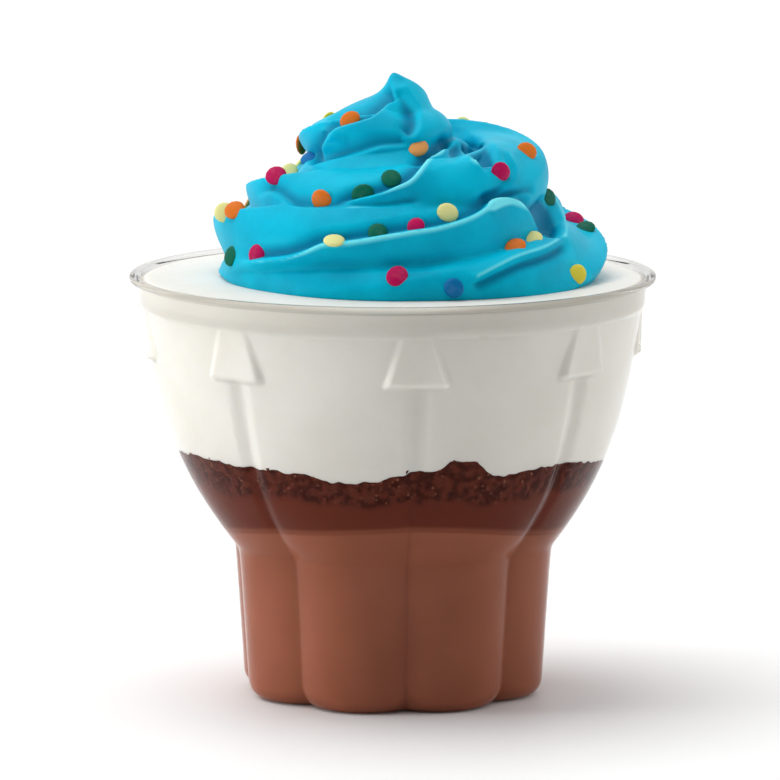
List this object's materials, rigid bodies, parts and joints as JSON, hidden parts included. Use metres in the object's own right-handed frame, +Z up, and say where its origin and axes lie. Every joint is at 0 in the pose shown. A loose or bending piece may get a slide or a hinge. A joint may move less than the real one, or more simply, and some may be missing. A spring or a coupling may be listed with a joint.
{
  "type": "layered dessert in a clear cup",
  "caption": "Layered dessert in a clear fluted cup: chocolate pudding, dark cake crumbs, white cream, and a piped blue swirl with confetti sprinkles.",
  "frame": {"origin": "centre of the cup's base, on the surface that it stands on", "axes": "+Z up along the cup's axis; -Y is the side seen in the picture"},
  "size_m": [0.098, 0.098, 0.1159],
  "materials": {
    "cup": "clear thin plastic",
    "pudding": "smooth chocolate pudding",
    "crumbs": "rough chocolate cake crumbs",
    "cream": "smooth white cream",
    "swirl": "satin blue whipped topping with coloured sprinkles"
  },
  "bodies": {
    "root": {"cup": "cup", "pudding": "pudding", "crumbs": "crumbs", "cream": "cream", "swirl": "swirl"}
  },
  "joints": []
}
